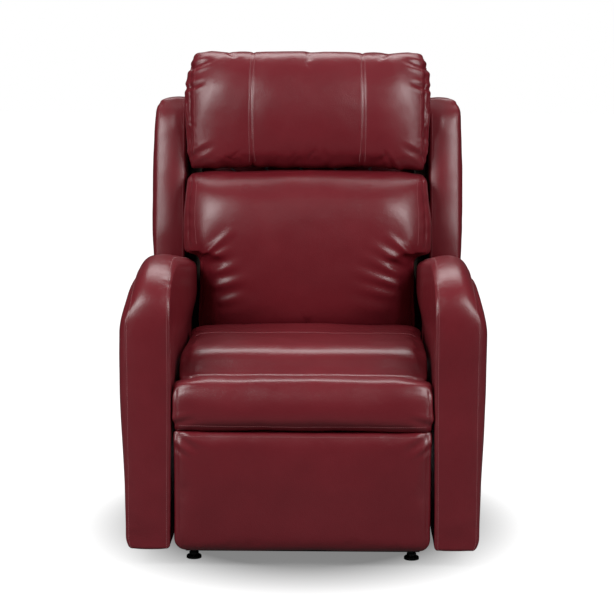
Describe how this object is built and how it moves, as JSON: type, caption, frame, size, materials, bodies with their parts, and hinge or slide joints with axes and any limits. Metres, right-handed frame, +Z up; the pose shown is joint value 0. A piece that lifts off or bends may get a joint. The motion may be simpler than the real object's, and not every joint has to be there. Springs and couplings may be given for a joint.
{
  "type": "lift recliner chair",
  "caption": "Upholstered power lift recliner: tilting lift base, reclining back with soft cushions, folding legrest, padded arms and a handset in a side pocket.",
  "frame": {"origin": "on the floor under the middle of the chair's overall box", "axes": "+Z up, -Y towards the front of the chair, +X to the right of someone facing the chair"},
  "size_m": [0.826, 0.9, 1.163],
  "materials": {
    "mechanism_steel": "satin",
    "zinc_plated_steel": "satin",
    "spring_wire": "satin",
    "timber": "matte",
    "upholstery_leather": "semi-gloss",
    "black_plastic": "matte",
    "button_plastic": "satin",
    "foot_plastic": "matte",
    "dust_cloth": "matte"
  },
  "bodies": {
    "base": {"base_side_tubes": "mechanism_steel", "base_cross_tubes": "mechanism_steel", "glide_feet": "foot_plastic", "lift_pivot_brackets": "mechanism_steel", "lift_actuator_mount": "mechanism_steel", "lift_actuator_housing": "black_plastic", "power_supply": "black_plastic", "power_inlet": "black_plastic"},
    "lift_arms": {"lift_lower_links": "mechanism_steel", "lift_torque_tube": "mechanism_steel", "lift_lower_pins": "zinc_plated_steel"},
    "lift_upper_arms": {"lift_upper_links": "mechanism_steel", "lift_upper_pins": "zinc_plated_steel"},
    "lift_rod": {"lift_actuator_rod": "zinc_plated_steel"},
    "carriage": {"mechanism_side_plates": "mechanism_steel", "carriage_cross_tubes": "mechanism_steel", "carriage_lift_brackets": "mechanism_steel", "seat_side_rails": "timber", "seat_end_rails": "timber", "seat_springs": "spring_wire", "seat_cushion": "upholstery_leather", "seat_front_roll": "upholstery_leather", "left_arm_frame": "timber", "right_arm_frame": "timber", "left_arm_upholstery": "upholstery_leather", "right_arm_upholstery": "upholstery_leather", "arm_bolts": "zinc_plated_steel", "side_pocket": "upholstery_leather", "rear_flap": "dust_cloth", "legrest_actuator_housing": "black_plastic", "back_actuator_housing": "black_plastic"},
    "drive_cranks": {"legrest_drive_cranks": "mechanism_steel", "legrest_drive_pins": "zinc_plated_steel", "legrest_torque_tube": "mechanism_steel"},
    "idler_cranks": {"legrest_idler_cranks": "mechanism_steel", "legrest_idler_pins": "zinc_plated_steel"},
    "upper_bars": {"legrest_upper_bars": "mechanism_steel"},
    "lower_bars": {"legrest_lower_bars": "mechanism_steel"},
    "legrest_panel": {"legrest_board": "timber", "legrest_pad": "upholstery_leather", "legrest_brackets": "mechanism_steel", "legrest_bracket_pins": "zinc_plated_steel"},
    "legrest_rod": {"legrest_actuator_rod": "zinc_plated_steel"},
    "back": {"back_stiles": "timber", "back_rails": "timber", "back_springs": "spring_wire", "back_hinge_plates": "mechanism_steel", "back_pivot_shaft": "mechanism_steel", "lumbar_cushion": "upholstery_leather", "head_pillow": "upholstery_leather", "left_wing": "upholstery_leather", "right_wing": "upholstery_leather", "back_outer_panel": "upholstery_leather"},
    "back_rod": {"back_actuator_rod": "zinc_plated_steel"},
    "handset": {"handset_body": "black_plastic"},
    "lift_up_key": {"lift_up_button": "button_plastic"},
    "lift_down_key": {"lift_down_button": "button_plastic"},
    "recline_key": {"recline_button": "button_plastic"},
    "upright_key": {"upright_button": "button_plastic"}
  },
  "joints": [
    {"name": "lift", "type": "hinge", "parent": "base", "child": "lift_arms", "pos_m": [0, -0.3, 0.075], "axis": [1, 0, 0], "range_deg": [0, 66]},
    {"name": "lift_upper", "type": "hinge", "parent": "base", "child": "lift_upper_arms", "pos_m": [0, -0.2423, 0.1145], "axis": [1, 0, 0], "range_deg": [-1, 58]},
    {"name": "lift_rod_slide", "type": "slide", "parent": "base", "child": "lift_rod", "axis": [0, -1, 0], "range_m": [-0.002, 0.13271]},
    {"name": "seat_tilt", "type": "hinge", "parent": "lift_arms", "child": "carriage", "pos_m": [0, 0.02, 0.1], "axis": [1, 0, 0], "range_deg": [-39, 1]},
    {"name": "legrest", "type": "hinge", "parent": "carriage", "child": "legrest_panel", "pos_m": [0, -0.443, 0.466], "axis": [-1, 0, 0], "range_deg": [0, 85]},
    {"name": "drive_crank_turn", "type": "hinge", "parent": "carriage", "child": "drive_cranks", "pos_m": [0, -0.15, 0.3], "axis": [-1, 0, 0], "range_deg": [-1, 86]},
    {"name": "idler_crank_turn", "type": "hinge", "parent": "carriage", "child": "idler_cranks", "pos_m": [0, -0.223, 0.341], "axis": [-1, 0, 0], "range_deg": [-1, 86]},
    {"name": "upper_bar_turn", "type": "hinge", "parent": "drive_cranks", "child": "upper_bars", "pos_m": [0, -0.067, 0.124], "axis": [-1, 0, 0], "range_deg": [-86, 1]},
    {"name": "lower_bar_turn", "type": "hinge", "parent": "drive_cranks", "child": "lower_bars", "pos_m": [0, -0.05, 0.087], "axis": [-1, 0, 0], "range_deg": [-86, 1]},
    {"name": "legrest_rod_slide", "type": "slide", "parent": "carriage", "child": "legrest_rod", "axis": [0, -1, 0], "range_m": [-0.002, 0.12361]},
    {"name": "back_recline", "type": "hinge", "parent": "carriage", "child": "back", "pos_m": [0, 0.185, 0.345], "axis": [-1, 0, 0], "range_deg": [0, 38]},
    {"name": "back_rod_slide", "type": "slide", "parent": "carriage", "child": "back_rod", "axis": [0, -1, 0], "range_m": [-0.002, 0.07362]},
    {"name": "handset_lift", "type": "slide", "parent": "carriage", "child": "handset", "axis": [0, 0, 1], "range_m": [0, 0.19]},
    {"name": "lift_up_press", "type": "slide", "parent": "handset", "child": "lift_up_key", "axis": [1, 0, 0], "range_m": [0, 0.0015], "stiffness_N_per_m": 400, "springref_m": -0.0005},
    {"name": "lift_down_press", "type": "slide", "parent": "handset", "child": "lift_down_key", "axis": [1, 0, 0], "range_m": [0, 0.0015], "stiffness_N_per_m": 400, "springref_m": -0.0005},
    {"name": "recline_press", "type": "slide", "parent": "handset", "child": "recline_key", "axis": [1, 0, 0], "range_m": [0, 0.0015], "stiffness_N_per_m": 400, "springref_m": -0.0005},
    {"name": "upright_press", "type": "slide", "parent": "handset", "child": "upright_key", "axis": [1, 0, 0], "range_m": [0, 0.0015], "stiffness_N_per_m": 400, "springref_m": -0.0005}
  ],
  "couplings": [
    {"joint": "lift_upper", "follows": "lift", "ratio": 0.86364},
    {"joint": "lift_rod_slide", "follows": "lift", "m_per_rad": 0.11348},
    {"joint": "seat_tilt", "follows": "lift", "ratio": -0.57576},
    {"joint": "drive_crank_turn", "follows": "legrest", "ratio": 1},
    {"joint": "idler_crank_turn", "follows": "legrest", "ratio": 1},
    {"joint": "upper_bar_turn", "follows": "legrest", "ratio": -1},
    {"joint": "lower_bar_turn", "follows": "legrest", "ratio": -1},
    {"joint": "legrest_rod_slide", "follows": "legrest", "m_per_rad": 0.081971},
    {"joint": "back_rod_slide", "follows": "back_recline", "m_per_rad": 0.10799}
  ]
}
